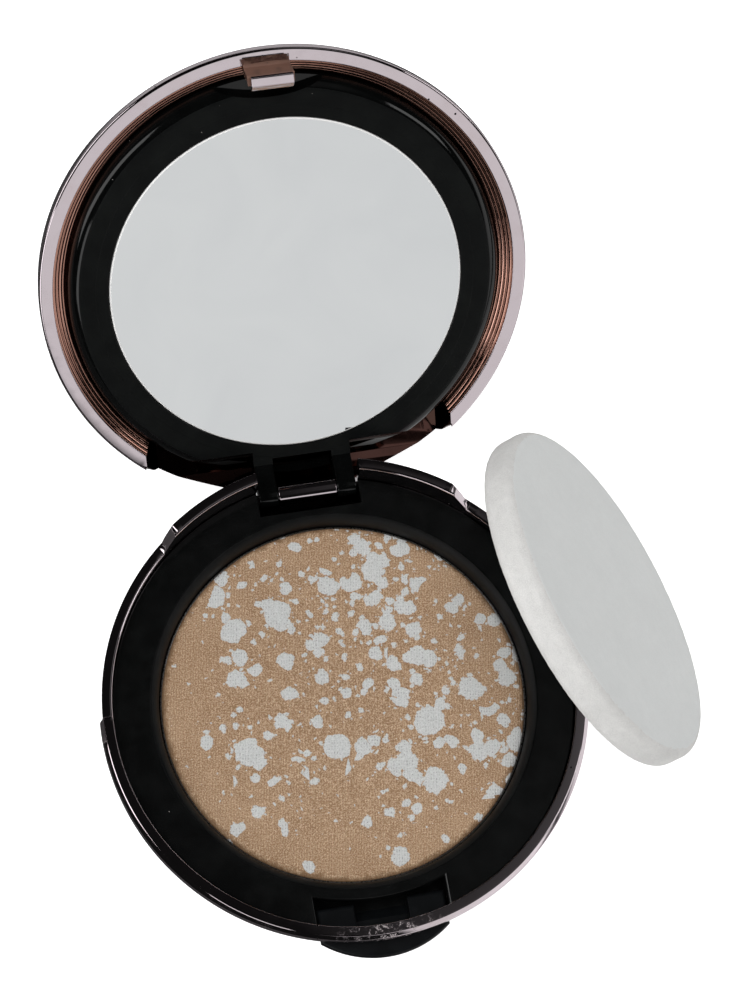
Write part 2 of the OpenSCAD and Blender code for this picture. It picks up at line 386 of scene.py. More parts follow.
# ------------------------------------------------------------------- materials
def plated(name, tint, tarnish, smudge=0.5, metal=1.0, smeared=False):
    """Rose plating: mirror bright, with faint cloudy smudges, worn spots and rare pits.

    It can be partly worn through to its base coat, and smeared with powder at the front."""
    material, tree, shader = new_material(name)
    where = place(tree)
    cloud = ramp(tree, noise(tree, where, 7, 4, 0.6), 0.5, 0.75, 0, smudge)
    fine = ramp(tree, noise(tree, where, 0.9, 3, 0.7), 0.58, 0.75, 0, 0.5)
    stain = times(tree, cloud, fine)
    colour = mix(tree, math_node(tree, "ADD", times(tree, cloud, 0.25), stain), tint, tarnish)
    pits = specks(tree, where, 2.2, 0.2, 0.3)
    colour = mix(tree, pits, colour, (0.02, 0.015, 0.015))
    rough = ramp(tree, noise(tree, where, 2.4, 4, 0.6), 0.35, 0.8, 0.03, 0.13)
    rough = math_node(tree, "MAXIMUM", rough, pits)
    if smeared:
        smear = front_smear(tree, where)
        colour = mix(tree, smear, colour, (0.5, 0.44, 0.43))
        rough = math_node(tree, "MAXIMUM", rough, times(tree, smear, 0.6))
        tree.links.new(ramp(tree, smear, 0, 1, metal, 0.25), shader.inputs["Metallic"])
    else:
        shader.inputs["Metallic"].default_value = metal
    tree.links.new(colour, shader.inputs["Base Color"])
    tree.links.new(rough, shader.inputs["Roughness"])
    wave = bump(tree, noise(tree, where, 9, 1), 0.008)
    tree.links.new(bump(tree, noise(tree, where, 0.6, 2), 0.0006, wave), shader.inputs["Normal"])
    return material


def front_smear(tree, where):
    """Dabs of powder left on the front lip by opening it."""
    axes = add(tree, "ShaderNodeSeparateXYZ", {0: where})
    near = math_node(tree, "ABSOLUTE", math_node(tree, "SUBTRACT", axes.outputs[0], 0.5))
    reach = times(tree, ramp(tree, near, 9, 1), ramp(tree, axes.outputs[1], -35.5, -37.5))
    dabs = ramp(tree, noise(tree, where, 1.1, 4, 0.8), 0.5, 0.6)
    grains = ramp(tree, noise(tree, where, 0.28, 2, 0.7), 0.42, 0.58)
    return times(tree, times(tree, reach, dabs), grains)


def inner_plating():
    """The plating inside the lid's wall: warmer than outside, with fine streaks from turning."""
    material, tree, shader = new_material("inner_plating")
    where = place(tree, opened=True)
    axes = add(tree, "ShaderNodeSeparateXYZ", {0: where})
    rings = add(tree, "ShaderNodeCombineXYZ", {0: radius_of(tree, where), 2: axes.outputs[2]}).outputs[0]
    streak = ramp(tree, noise(tree, rings, 0.12, 2, 0.6), 0.35, 0.65)
    tree.links.new(mix(tree, streak, (0.22, 0.085, 0.055), (0.7, 0.4, 0.32)), shader.inputs["Base Color"])
    tree.links.new(ramp(tree, noise(tree, where, 1.5, 3), 0.35, 0.7, 0.06, 0.2), shader.inputs["Roughness"])
    tree.links.new(bump(tree, streak, 0.004), shader.inputs["Normal"])
    shader.inputs["Metallic"].default_value = 1
    return material


def black_plastic(name, colour, rough_low, rough_high, lint=0.05, shine=0.4, dull_r=None):
    """Moulded black plastic: faint cloudiness, hair-fine scuffs and a little lint.

    dull_r is a radius within which it is matt."""
    material, tree, shader = new_material(name)
    shader.inputs["Specular IOR Level"].default_value = shine
    where = place(tree)
    cloud = noise(tree, where, 5, 3, 0.6)
    paler = tuple(c * 1.8 for c in colour)
    base = mix(tree, ramp(tree, cloud, 0.4, 0.7), colour, paler)
    dust = specks(tree, where, 1.7, 0.09, lint)
    tree.links.new(mix(tree, dust, base, (0.32, 0.3, 0.28)), shader.inputs["Base Color"])
    scuff = add(
        tree, "ShaderNodeTexNoise",
        {"Vector": where, "Scale": 1.4, "Detail": 5.0, "Roughness": 0.75, "Distortion": 0.4},
    ).outputs["Fac"]
    rough = ramp(tree, scuff, 0.35, 0.75, rough_low, rough_high)
    if dull_r:
        matt = ramp(tree, radius_of(tree, where), dull_r, dull_r - 0.6, 0, 0.6)
        rough = math_node(tree, "MAXIMUM", rough, matt)
    rough = math_node(tree, "MAXIMUM", rough, times(tree, dust, 0.7))
    tree.links.new(rough, shader.inputs["Roughness"])
    wave = bump(tree, noise(tree, where, 8, 1), 0.02)
    tree.links.new(bump(tree, noise(tree, where, 0.35, 2), 0.0015, wave), shader.inputs["Normal"])
    return material


def radius_of(tree, where):
    flat = add(tree, "ShaderNodeVectorMath", {0: where, 1: (1, 1, 0)}, operation="MULTIPLY")
    return add(
        tree, "ShaderNodeVectorMath", {0: flat.outputs[0]}, operation="LENGTH"
    ).outputs["Value"]


def frame_satin():
    """The mirror frame's flat: satin black with one fine scored line."""
    material, tree, shader = new_material("frame_satin")
    shader.inputs["Specular IOR Level"].default_value = 0.16
    where = place(tree, opened=True)
    grain = noise(tree, where, 0.3, 3, 0.7)
    tree.links.new(ramp(tree, grain, 0.3, 0.7, 0.42, 0.55), shader.inputs["Roughness"])
    cloud = ramp(tree, noise(tree, where, 4, 3), 0.4, 0.7)
    base = mix(tree, cloud, (0.003, 0.0035, 0.0035), (0.005, 0.0058, 0.0055))
    off = math_node(tree, "ABSOLUTE", math_node(tree, "SUBTRACT", radius_of(tree, where), SCORED_R))
    line = ramp(tree, off, 0.07, 0.01)
    dust = specks(tree, where, 1.6, 0.08, 0.1)
    tree.links.new(mix(tree, dust, base, (0.32, 0.3, 0.28)), shader.inputs["Base Color"])
    scored = bump(tree, times(tree, line, -1), 0.02)
    tree.links.new(bump(tree, grain, 0.002, scored), shader.inputs["Normal"])
    return material


def silvered_glass():
    """Mirror glass with the faintest wipe marks."""
    material, tree, shader = new_material("silvered_glass")
    where = place(tree, opened=True)
    wipe = add(
        tree, "ShaderNodeTexNoise",
        {"Vector": where, "Scale": 0.05, "Detail": 3.0, "Roughness": 0.5, "Distortion": 1.0},
    ).outputs["Fac"]
    tree.links.new(ramp(tree, wipe, 0.4, 0.75, 0.01, 0.04), shader.inputs["Roughness"])
    tint = mix(tree, ramp(tree, wipe, 0.3, 0.7), (0.86, 0.88, 0.885), (0.82, 0.84, 0.85))
    dust = specks(tree, where, 2.5, 0.07, 0.08)
    tint = mix(tree, dust, tint, (0.6, 0.6, 0.6))
    # partly painted highlight: the glass's outer rim, bevel and edge are a pale ground-glass white that also
    # stands in for the bright line along the edge
    ground = ramp(tree, radius_of(tree, where), MIRROR_R - 0.3, MIRROR_R - 0.2)
    tree.links.new(mix(tree, ground, tint, (0.93, 0.92, 0.91)), shader.inputs["Base Color"])
    tree.links.new(math_node(tree, "SUBTRACT", 1, ground), shader.inputs["Metallic"])
    return material


def blots(tree, where, pitch, low, high, share, density, shift):
    """Irregular round blots of random size, thinned out where density is low.

    Gives the blots, and a wider halo around them."""
    moved = add(
        tree, "ShaderNodeVectorMath", {0: where, 1: (shift, -shift * 0.7, 0)}, operation="ADD"
    ).outputs[0]
    cells = add(
        tree, "ShaderNodeTexVoronoi",
        {"Vector": moved, "Scale": 1 / pitch, "Randomness": 1.0}, voronoi_dimensions="2D",
    )
    parts = add(tree, "ShaderNodeSeparateColor", {0: cells.outputs["Color"]})
    radius = ramp(tree, parts.outputs[1], 0, 1, low / pitch, high / pitch)
    limit = times(tree, density, share)
    chosen = math_node(tree, "LESS_THAN", parts.outputs[0], limit)
    edge = times(tree, math_node(tree, "SUBTRACT", radius, cells.outputs["Distance"]), pitch)
    inside = times(tree, ramp(tree, edge, -0.06, 0.08), chosen)
    halo = times(tree, ramp(tree, edge, -1.3, -0.2), chosen)
    return inside, halo


def warp(tree, where, steps):
    """Shifts coordinates by noise. Each step is (frequency, reach)."""
    warped = where
    for scale, reach in steps:
        swirl = add(tree, "ShaderNodeTexNoise", {"Vector": where, "Scale": scale, "Detail": 1.0})
        centred = add(
            tree, "ShaderNodeVectorMath", {0: swirl.outputs["Color"], 1: (0.5, 0.5, 0.5)},
            operation="SUBTRACT",
        )
        warped = add(
            tree, "ShaderNodeVectorMath",
            {0: centred.outputs[0], 1: (reach, reach, 0), 2: warped}, operation="MULTIPLY_ADD",
        ).outputs[0]
    return warped


def splatter(tree, where):
    """The off-white blots in the cake, denser to the right and the back."""
    warped = warp(tree, where, ((0.34, 1.7), (1.5, 0.7), (4.0, 0.3)))
    lean = add(tree, "ShaderNodeVectorMath", {0: where, 1: (0.6, 0.5, 0)}, operation="DOT_PRODUCT")
    axes = add(tree, "ShaderNodeSeparateXYZ", {0: where})
    slope = ramp(tree, lean.outputs["Value"], -22, 8, 0.45, 1.05)
    slope = times(tree, slope, ramp(tree, axes.outputs[0], -25, -17, 0.3, 1))
    slope = times(tree, slope, ramp(tree, axes.outputs[1], -23, -16, 0.25, 1))
    patch = ramp(tree, noise(tree, where, 11, 1), 0.35, 0.6, 0.5, 1.15)
    density = times(tree, slope, patch)
    big = [
        blots(tree, warped, 7.4, 1.3, 2.4, 0.5, density, 3.1),
        blots(tree, warped, 6.1, 0.9, 1.9, 0.5, density, 29.0),
    ]
    near = math_node(tree, "MAXIMUM", big[0][1], big[1][1])
    crowd = times(tree, density, ramp(tree, near, 0, 1, 0.75, 1.7))
    small = [
        blots(tree, warped, 4.1, 0.6, 1.4, 0.42, density, 17.0),
        blots(tree, warped, 3.3, 0.45, 1.1, 0.34, crowd, 53.0),
        blots(tree, warped, 2.1, 0.25, 0.7, 0.3, crowd, 41.0),
        blots(tree, warped, 1.5, 0.15, 0.45, 0.25, crowd, 83.0),
        blots(tree, warped, 0.9, 0.1, 0.24, 0.17, crowd, 67.0),
    ]
    total = big[0][0]
    for inside, _ in big[1:] + small:
        total = math_node(tree, "MAXIMUM", total, inside)
    return total


def pressed_cake():
    """Pressed powder: a fine ribbed cloth print, tan and off-white, with pits and bright grains."""
    material, tree, shader = new_material("pressed_cake")
    where = place(tree)
    straight = add(
        tree, "ShaderNodeVectorRotate", {"Vector": where, "Angle": math.radians(PRINT_TURN)},
        rotation_type="Z_AXIS",
    ).outputs[0]
    axes = add(tree, "ShaderNodeSeparateXYZ", {0: straight})
    drift = times(tree, noise(tree, where, 3, 2), 2.6)
    across = math_node(tree, "ADD", times(tree, axes.outputs[0], 2 * math.pi / RIB_PITCH), drift)
    along = times(tree, axes.outputs[1], 2 * math.pi / (RIB_PITCH * 1.3))
    along = math_node(tree, "ADD", along, times(tree, noise(tree, where, 0.8, 2), 9))
    ribs = math_node(tree, "SINE", across)
    dots = times(tree, ribs, math_node(tree, "SINE", along))
    weave = math_node(tree, "ADD", times(tree, ribs, 0.65), times(tree, dots, 0.45))
    grain = noise(tree, where, 0.22, 3, 0.8)
    cloud = noise(tree, where, 5, 3, 0.6)
    tan = mix(tree, ramp(tree, cloud, 0.3, 0.7), (0.32, 0.192, 0.105), (0.41, 0.262, 0.154))
    tan = mix(tree, ramp(tree, grain, 0.47, 0.66), tan, (0.74, 0.56, 0.4))
    tan = mix(tree, ramp(tree, grain, 0.5, 0.34, 0, 0.75), tan, (0.23, 0.13, 0.07))
    tan = mix(tree, ramp(tree, weave, 0.2, -1.0, 0, 0.4), tan, (0.24, 0.14, 0.075))
    # painted shade: the rim where the cake rounds down by the pan is darkened to brown
    tan = mix(tree, painted_rim_shade(tree, where), tan, (0.2, 0.115, 0.06))
    pale = mix(tree, ramp(tree, grain, 0.35, 0.7), (0.5, 0.505, 0.5), (0.72, 0.73, 0.72))
    pits = times(tree, ramp(tree, weave, -0.35, -0.85), ramp(tree, grain, 0.52, 0.44))
    pale = mix(tree, times(tree, pits, 0.75), pale, (0.2, 0.19, 0.19))
    splash = splatter(tree, where)
    colour = mix(tree, splash, tan, pale)
    glints = specks(tree, where, 0.8, 0.07, 0.14)
    tree.links.new(mix(tree, glints, colour, (0.9, 0.86, 0.8)), shader.inputs["Base Color"])
    shader.inputs["Roughness"].default_value = 0.85
    print_bump = bump(tree, weave, 0.035)
    grainy = bump(tree, grain, 0.05, print_bump)
    tree.links.new(bump(tree, splash, 0.03, grainy), shader.inputs["Normal"])
    shader.inputs["Specular IOR Level"].default_value = 0.25
    return material


def painted_rim_shade(tree, where):
    """1 along the cake's ragged rim, where it rounds down by the pan: the painted shade there, a browner
    tone.
    """
    from_axis = radius_of(tree, where)
    uneven = ramp(tree, noise(tree, where, 1.2, 3), 0.3, 0.7, -0.4, 0.4)
    return ramp(tree, math_node(tree, "ADD", from_axis, uneven), 28.3, 29.0, 0, 0.8)


def velour(name, low, high):
    """Short cotton pile: cool grey-white with soft clumps and a dusting of fibres."""
    material, tree, shader = new_material(name)
    where = place(tree)
    fibre = noise(tree, where, 0.16, 4, 0.8)
    clump = noise(tree, where, 1.5, 3, 0.6)
    cloud = noise(tree, where, 12, 2)
    colour = mix(tree, ramp(tree, fibre, 0.3, 0.7), low, high)
    colour = mix(tree, ramp(tree, clump, 0.35, 0.7, 0, 0.4), colour, high)
    colour = mix(tree, ramp(tree, cloud, 0.4, 0.7, 0, 0.3), colour, low)
    tree.links.new(colour, shader.inputs["Base Color"])
    shader.inputs["Roughness"].default_value = 0.95
    shader.inputs["Sheen Weight"].default_value = 0.25
    shader.inputs["Sheen Roughness"].default_value = 0.5
    shader.inputs["Specular IOR Level"].default_value = 0.1
    soft = bump(tree, clump, 0.12)
    tree.links.new(bump(tree, fibre, 0.09, soft), shader.inputs["Normal"])
    return material


def bare_metal(name, tint, stretch):
    """Drawn aluminium or ground steel, brushed along one direction."""
    material, tree, shader = new_material(name)
    where = place(tree)
    drawn = add(tree, "ShaderNodeVectorMath", {0: where, 1: stretch}, operation="MULTIPLY").outputs[0]
    streak = noise(tree, drawn, 0.4, 4, 0.7)
    shade = tuple(c * 0.7 for c in tint)
    tree.links.new(mix(tree, ramp(tree, streak, 0.35, 0.7), shade, tint), shader.inputs["Base Color"])
    tree.links.new(ramp(tree, streak, 0.3, 0.7, 0.22, 0.4), shader.inputs["Roughness"])
    tree.links.new(bump(tree, streak, 0.004), shader.inputs["Normal"])
    shader.inputs["Metallic"].default_value = 1
    return material


def glue():
    material, tree, shader = new_material("glue")
    where = place(tree)
    cells = noise(tree, where, 1.2, 3)
    tree.links.new(mix(tree, cells, (0.6, 0.57, 0.5), (0.75, 0.73, 0.66)), shader.inputs["Base Color"])
    tree.links.new(ramp(tree, cells, 0.3, 0.7, 0.5, 0.8), shader.inputs["Roughness"])
    tree.links.new(bump(tree, cells, 0.03), shader.inputs["Normal"])
    return material


# ----------------------------------------------------------------------- base
def base_angles():
    """Angles round the case, close together where the rim steps, and even elsewhere."""
    step_at = 90 + math.degrees(math.asin(LIP_START_Y / SIDE_R))
    raise_at = 180 - 39.4
    angles = set(np.round(np.arange(0, 180.01, 1.25), 3))
    angles |= set(np.round(np.arange(step_at - 0.6, step_at + 0.6, 0.1), 3))
    angles |= set(np.round(np.arange(raise_at - 4.6, raise_at + 4.6, 0.2), 3))
    half = sorted(a for a in angles if 0 <= a <= 180)
    return half + [360 - a for a in reversed(half) if 0 < a < 180]


def base_profile(angle):
    """The base's section at an angle: foot, rounded flank, wall, rim and bore."""
    turn = math.radians(angle)
    y_side = -SIDE_R * math.cos(turn)
    front = 1 - np.clip((y_side - (LIP_START_Y - 0.12)) / 0.24, 0, 1)
    corner = 0.22
    side = [(SIDE_R, 9.3, 0.2), (SIDE_R, 10.5, 0.2), (SIDE_R, RIM_Z, corner), (BORE_R, RIM_Z, 0.42)]
    lip = [(RIM_R, 9.4, 0.35), (RIM_R, LIP_Z - 0.7, 0.18), (RIM_R - 0.7, LIP_Z, 0.12), (BORE_R, LIP_Z, 0.16)]
    rim = [tuple(s + (f - s) * front for s, f in zip(a, b)) for a, b in zip(side, lip)]
    corners = [(0, 0, 0), (FOOT_R, 0, 0)]
    flank = arc(FOOT_R, WALL_Z, SIDE_R - FOOT_R, WALL_Z, -87, 0, 18)
    inner = arc(FOOT_R - 0.6, WALL_Z - 0.4, BORE_R - FOOT_R + 0.6, WALL_Z - 0.4 - SHELL_T, 0, -90, 12)
    points = outline(corners + flank + rim + inner + [(0, SHELL_T, 0)])
    return raise_back(points, turn)


def raise_back(points, turn):
    """Lifts the rim's points to the raised back wall where they lie within its outline."""
    slope = (BACK_Z - RIM_Z) / (BACK_HALF_FOOT - BACK_HALF_TOP)
    lifted = []
    for r, z in points:
        x, y = abs(r * math.sin(turn)), -r * math.cos(turn)
        if y > 0 and z > 10.6:
            rise = np.clip((BACK_HALF_FOOT - x) * slope, 0, BACK_Z - RIM_Z)
            near_top = np.clip((z - 10.6) / (RIM_Z - 0.3 - 10.6), 0, 1)
            z += rise * near_top
            r = min(r + (BACK_R - SIDE_R) * np.clip(rise, 0, 1), BACK_R) if r > 38.2 else r
        lifted.append((r, z))
    return lifted


def make_base(plating):
    piece = revolve("base_shell_fine", base_profile, base_angles())
    half = BUTTON_HALF + BUTTON_GAP
    carve(
        piece,
        box("notch", -NOTCH_HALF, NOTCH_HALF, NOTCH_Y, 50, NOTCH_Z, 30),
        box("window", -half, half, -60, -35.5, BUTTON_LOW_Z - BUTTON_GAP, BUTTON_TOP_Z + BUTTON_GAP),
    )
    smooth(piece)
    return dress(piece, "base", "base_shell", plating, node="base_shell")


def make_knuckle(plating):
    """The centre knuckle and the pedestal that carries it."""
    y, z = HINGE.y / MM, HINGE.z / MM
    section = [(34.3, 1.3), (y + 1, 1.3), (y + KNUCKLE_R, NOTCH_Z), (y + KNUCKLE_R, z)]
    section += around_hinge(np.linspace(0.1, math.pi - 0.1, 24))
    section += [(y - KNUCKLE_R, z), (34.3, z - 1.4)]
    piece = bar_x("centre_knuckle", section, -KNUCKLE_HALF, KNUCKLE_HALF)
    soften(piece, 0.18, 3, 50)
    smooth(piece)
    return dress(piece, "base", "base_shell", plating)


# ----------------------------------------------------------------------- tray
def flared(name, outline_at, top, low, rounding, high):
    """A cutter whose outline widens at the top, so that what it cuts gets a rounded edge."""
    levels = [(0, low)]
    for t in np.linspace(0, 90, 7):
        a = math.radians(t)
        levels.append((rounding * (1 - math.cos(a)), top - rounding + rounding * math.sin(a)))
    levels.append((rounding, high))
    return skin(name, [[(x, y, z) for x, y in outline_at(grow)] for grow, z in levels])


def recess_outline(grow, inner=RECESS_R):
    half, near = RECESS_HALF + grow, inner - grow
    start = math.degrees(math.asin(half / near))
    return front_bend(near, -start, start) + [(half, -45), (-half, -45)]


def make_tray(plastic):
    skirt = 1.1
    corners = [(0, TRAY_FLOOR_Z - 0.8, 0), (WELL_R + skirt, TRAY_FLOOR_Z - 0.8, 0.3)]
    corners += [(WELL_R + skirt, RING_Z - 1.7, 0.3), (TRAY_R - skirt, RING_Z - skirt, 0)]
    corners += [(TRAY_R - skirt, 7.4, 0), (TRAY_R, 7.4, 0), (TRAY_R, RING_Z, 0.22)]
    corners += arc(WELL_R + 1.55, RING_Z - 1.9, 1.55, 1.9, 90, 180, 16)
    corners += [(WELL_R, TRAY_FLOOR_Z, 0), (0, TRAY_FLOOR_Z, 0)]
    piece = revolve("inner_tray_fine", outline(corners))
    pocket_block = skin(
        "pocket_block",
        [[(x, y, z) for x, y in pocket_outline(1)] for z in (RECESS_FLOOR_Z - 1, RING_Z - 0.4)],
    )
    carve(piece, pocket_block, operation="UNION")
    room = recess_outline(0, POCKET_IN_R)
    carve(
        piece,
        flared("recess", recess_outline, RING_Z, RECESS_FLOOR_Z, 0.5, 14),
        skin("room", [[(x, y, z) for x, y in room] for z in (RECESS_FLOOR_Z, POCKET_TOP_Z)]),
        box("notch", -NOTCH_HALF, NOTCH_HALF, NOTCH_Y, 50, NOTCH_Z - 1, 30),
    )
    smooth(piece)
    return dress(piece, "base", "inner_tray", plastic, node="inner_tray")


def pocket_outline(grow):
    """The block under the recess, from its inner wall out to the tray's skirt."""
    half, near, far = RECESS_HALF + grow, POCKET_IN_R - grow, TRAY_R - 0.7
    start, end = math.degrees(math.asin(half / near)), math.degrees(math.asin(half / far))
    return front_bend(near, -start, start) + front_bend(far, end, -end)


def make_pan(metal):
    low = TRAY_FLOOR_Z + 0.15
    corners = [(0, low, 0), (PAN_R, low, 0.3), (PAN_R, PAN_Z, 0.1), (PAN_R - 0.3, PAN_Z, 0.1)]
    corners += [(PAN_R - 0.3, low + 0.3, 0.1), (0, low + 0.3, 0)]
    piece = revolve("powder_pan_fine", outline(corners))
    smooth(piece)
    return dress(piece, "base", "powder_pan", metal, node="powder_pan")


def make_cake(powder):
    """The cake: almost flat, its edge rounded down and a little uneven, as pressing leaves it."""
    rng = np.random.default_rng(7)
    phases = rng.uniform(0, 2 * math.pi, 9)
    rounded = np.sin(np.linspace(0.06, math.pi / 2, 14))
    radii = list(np.linspace(0, CAKE_FLAT_R, 23)) + list(CAKE_FLAT_R + (CAKE_R - CAKE_FLAT_R) * rounded)
    rings = []
    for angle in np.linspace(0, 2 * math.pi, 361)[:-1]:
        wobble = sum(math.sin((k + 3) * 2 * angle + p) for k, p in enumerate(phases)) / 9
        ring = [(0, 0, TRAY_FLOOR_Z + 0.45)]
        ring.append((CAKE_R * math.cos(angle), CAKE_R * math.sin(angle), TRAY_FLOOR_Z + 0.45))
        for r in reversed(radii):
            edge = max(0.0, (r - 27.4) / (CAKE_R - 27.4))
            drop = 0.62 * (1 - math.sqrt(max(0.0, 1 - edge**2)))
            z = CAKE_Z - drop * (1 + 0.25 * wobble) - 0.0001 * r * r
            ring.append((r * math.cos(angle), r * math.sin(angle), z))
        rings.append(ring)
    piece = skin("pressed_powder_fine", rings, caps=False, rows_closed=True)
    smooth(piece, 60, weighted=False)
    return dress(piece, "base", "pressed_powder", powder, node="pressed_powder")


# --------------------------------------------------------------------- button
def button_points(inset):
    """The button from above: a bow outside the case and straight sides within it."""
    sag = BUTTON_BOW_Y - BUTTON_SIDE_Y
    bow_r = (BUTTON_HALF**2 + sag**2) / (2 * sag)
    half, r = BUTTON_HALF - inset, bow_r - inset
    side = math.asin(half / r)
    bow = [(r * math.sin(a), bow_r - BUTTON_BOW_Y - r * math.cos(a)) for a in np.linspace(-side, side, 49)]
    return bow + [(half, -BUTTON_ARM_Y - inset), (-half, -BUTTON_ARM_Y - inset)]


def slot_points(grow):
    half = SLOT_HALF + grow
    return [(-half, -SLOT_Y - grow), (half, -SLOT_Y - grow), (half, -30), (-half, -30)]


def make_button(plastic):
    edge = 0.7
    levels = [(1.0, BUTTON_LOW_Z), (0.8, BUTTON_LOW_Z + 0.1)]
    for t in np.linspace(0, 90, 7):
        a = math.radians(t)
        levels.append((edge * (1 - math.cos(a)), BUTTON_TOP_Z - edge + edge * math.sin(a)))
    rings = [[(x, y, z) for x, y in button_points(inset)] for inset, z in levels]
    piece = skin("push_button_fine", rings)
    ramp_cut = [(-35.6, RAMP_Z + 0.4), (-30, BUTTON_LOW_Z - 3), (-30, 12), (-35.6, 12)]
    carve(
        piece,
        flared("slot", slot_points, BUTTON_TOP_Z, RAMP_Z, 0.25, 12),
        bar_x("ramp", ramp_cut, -SLOT_HALF, SLOT_HALF),
    )
    smooth(piece)
    return dress(piece, "button", "push_button", plastic, node="push_button")


# ------------------------------------------------------------------------ lid
def make_lid_shell(plating, warm, hinge_shade_plating):
    piece = revolve("lid_shell_fine", lid_profile)
    foot, top = BACK_HALF_FOOT + BACK_GAP, BACK_HALF_TOP + BACK_GAP
    block = [(-foot, 11), (foot, 11), (foot, RIM_Z)]
    block += [(top, BACK_Z + BACK_GAP), (-top, BACK_Z + BACK_GAP), (-foot, RIM_Z)]
    back = skin("back", [[(x, y, z) for x, z in block] for y in (10, 60)])
    swing = bar_x("swing", circle(HINGE.y / MM, HINGE.z / MM, SWING_R, 96), -SWING_HALF, SWING_HALF)
    carve(piece, back, swing)
    smooth(piece)
    for face in piece.data.polygons:
        face.material_index = lid_plating_or_painted_shade(face)
    return dress(piece, "lid", "lid_shell", plating, warm, hinge_shade_plating, node="lid_shell", opened=True)


def lid_profile(angle):
    """The lid's section at an angle. Its flank is fuller towards the hinge than at the catch."""
    turn = min(angle, 360 - angle)
    t = np.clip((turn - 25) / 55, 0, 1)
    power = 1 - 0.5 * t * t * (3 - 2 * t)
    corners = [(BORE_R, 0, 0.17), (RIM_R, 0, 0.4)]
    for a in np.radians(np.linspace(0, 90, 31)):
        across, up = math.cos(a) ** power, math.sin(a) ** power
        corners.append((DOME_R + (RIM_R - DOME_R) * across, 1.2 + (LID_H - 1.5) * up, 0))
    corners += [(0, LID_H, 0), (0, LID_H - SHELL_T, 0)]
    corners += arc(DOME_R, 1.2, BORE_R - 2.6 - DOME_R, LID_H - 2.6, 90, 25, 20)
    corners += reversed(rolled_steps(BORE_R, 0.35, 4, 0.74))
    return outline(corners) + np.array((0, LID_Z))


def rolled_steps(r, s, count, size):
    """Section points of small rounded steps that run inwards and up from a lid's rim."""
    points = []
    steps = np.radians(np.linspace(88, 42, 8))
    for _ in range(count):
        for angle in steps:
            out, up = math.cos(angle) - math.cos(steps[0]), math.sin(steps[0]) - math.sin(angle)
            points.append((r - size * out, s + size * up, 0))
        r, s = points[-1][0], points[-1][1] + 0.12
    return points


def lid_plating_or_painted_shade(face):
    """0 for the lid's outer plating, 1 for the plating inside its wall, 2 for the hinge side: its cut faces
    and the inner wall near the hinge, which get near-black plating as painted shade.
    """
    c, n = face.center / MM, face.normal
    from_hinge = math.hypot(c.y - HINGE.y / MM, c.z - HINGE.z / MM)
    if abs(c.x) < SWING_HALF + 0.02 and from_hinge < SWING_R + 0.05:
        return 2
    if c.y > 5 and abs(c.z - BACK_Z - BACK_GAP) < 0.02:
        return 2
    if c.y > 20 and -26 < c.x < -22 and c.z < BACK_Z and n.x > 0.5:
        return 2
    if c.y > 24 and abs(c.x) < 25 and math.hypot(c.x, c.y) < BORE_R:
        return 2
    looks_in = c.x * n.x + c.y * n.y < 0 or n.z < -0.2
    return 1 if math.hypot(c.x, c.y) < BORE_R and c.z > LID_Z + 0.1 and looks_in else 0


def make_catch(plating, bright):
    """The snap hook: a plate let into the rim, a neck and a barbed nose."""
    s = LID_Z
    section = [(-38.2, s), (-37.0, s), (-36.6, s - 0.25), (-36.6, s - HOOK_H + 0.9)]
    section += [(-34.9, s - HOOK_H + 1.2), (-35.3, s - HOOK_H + 1.6), (-35.3, s + 0.9), (-38.2, s + 0.9)]
    piece = bar_x("lid_catch_fine", section, -HOOK_HALF, HOOK_HALF)
    tip = s - HOOK_H
    nose = [(-36.55, tip), (-35.1, tip), (-34.2, tip + 0.9), (-35.3, tip + 1.5), (-36.55, tip + 1.5)]
    soften(piece, 0.13, 3)
    make_nose(bright, nose)
    smooth(piece)
    return dress(piece, "lid", "lid_catch", plating, node="lid_catch", opened=True)


def make_nose(plating, section):
    """The hook's barbed tip, a little narrower than the plate above it."""
    piece = bar_x("lid_catch_nose", section, -HOOK_HALF + 0.45, HOOK_HALF - 0.25)
    soften(piece, 0.13, 3)
    smooth(piece)
    return dress(piece, "lid", "lid_catch", plating, opened=True)


def make_frame(plastic, satin):
    s = LID_Z
    corners = [(MIRROR_R + 0.1, -FRAME_PROUD, 0.12)]
    corners += arc(FRAME_FLAT_R, 0.9, FRAME_R - FRAME_FLAT_R, 1.9, -90, 0, 16)
    corners += [(FRAME_R, 3, 0.1), (FRAME_R - 1.3, 3, 0.1), (FRAME_R - 1.3, POCKET_S + 1, 0)]
    corners += [(0, POCKET_S + 1, 0), (0, POCKET_S, 0), (MIRROR_R + 0.1, POCKET_S, 0)]
    piece = revolve("mirror_frame_fine", outline(corners) + np.array((0, s)))
    hinge = circle(HINGE.y / MM, HINGE.z / MM, SWING_R, 96)
    bite = circle(0, -53.8, 22, 160)
    relief = skin("relief", [[(x, y, z) for x, y in bite] for z in (s - 5, s + POCKET_S)])
    carve(
        piece,
        bar_x("swing_left", hinge, -SWING_HALF, -ARM_OUT),
        bar_x("swing_right", hinge, ARM_OUT, SWING_HALF),
        box("pocket", -ARM_IN, ARM_IN, 30.2, 50, s - 5, s + 2),
        relief,
    )
    smooth(piece)
    for face in piece.data.polygons:
        c = face.center / MM
        face.material_index = 1 if math.hypot(c.x, c.y) < FRAME_FLAT_R + 0.6 and face.normal.z < -0.9 else 0
    dress(piece, "lid", "mirror_frame", plastic, satin, node="mirror_frame", opened=True)
    for side in (-1, 1):
        make_arm(side, plastic)
    return piece


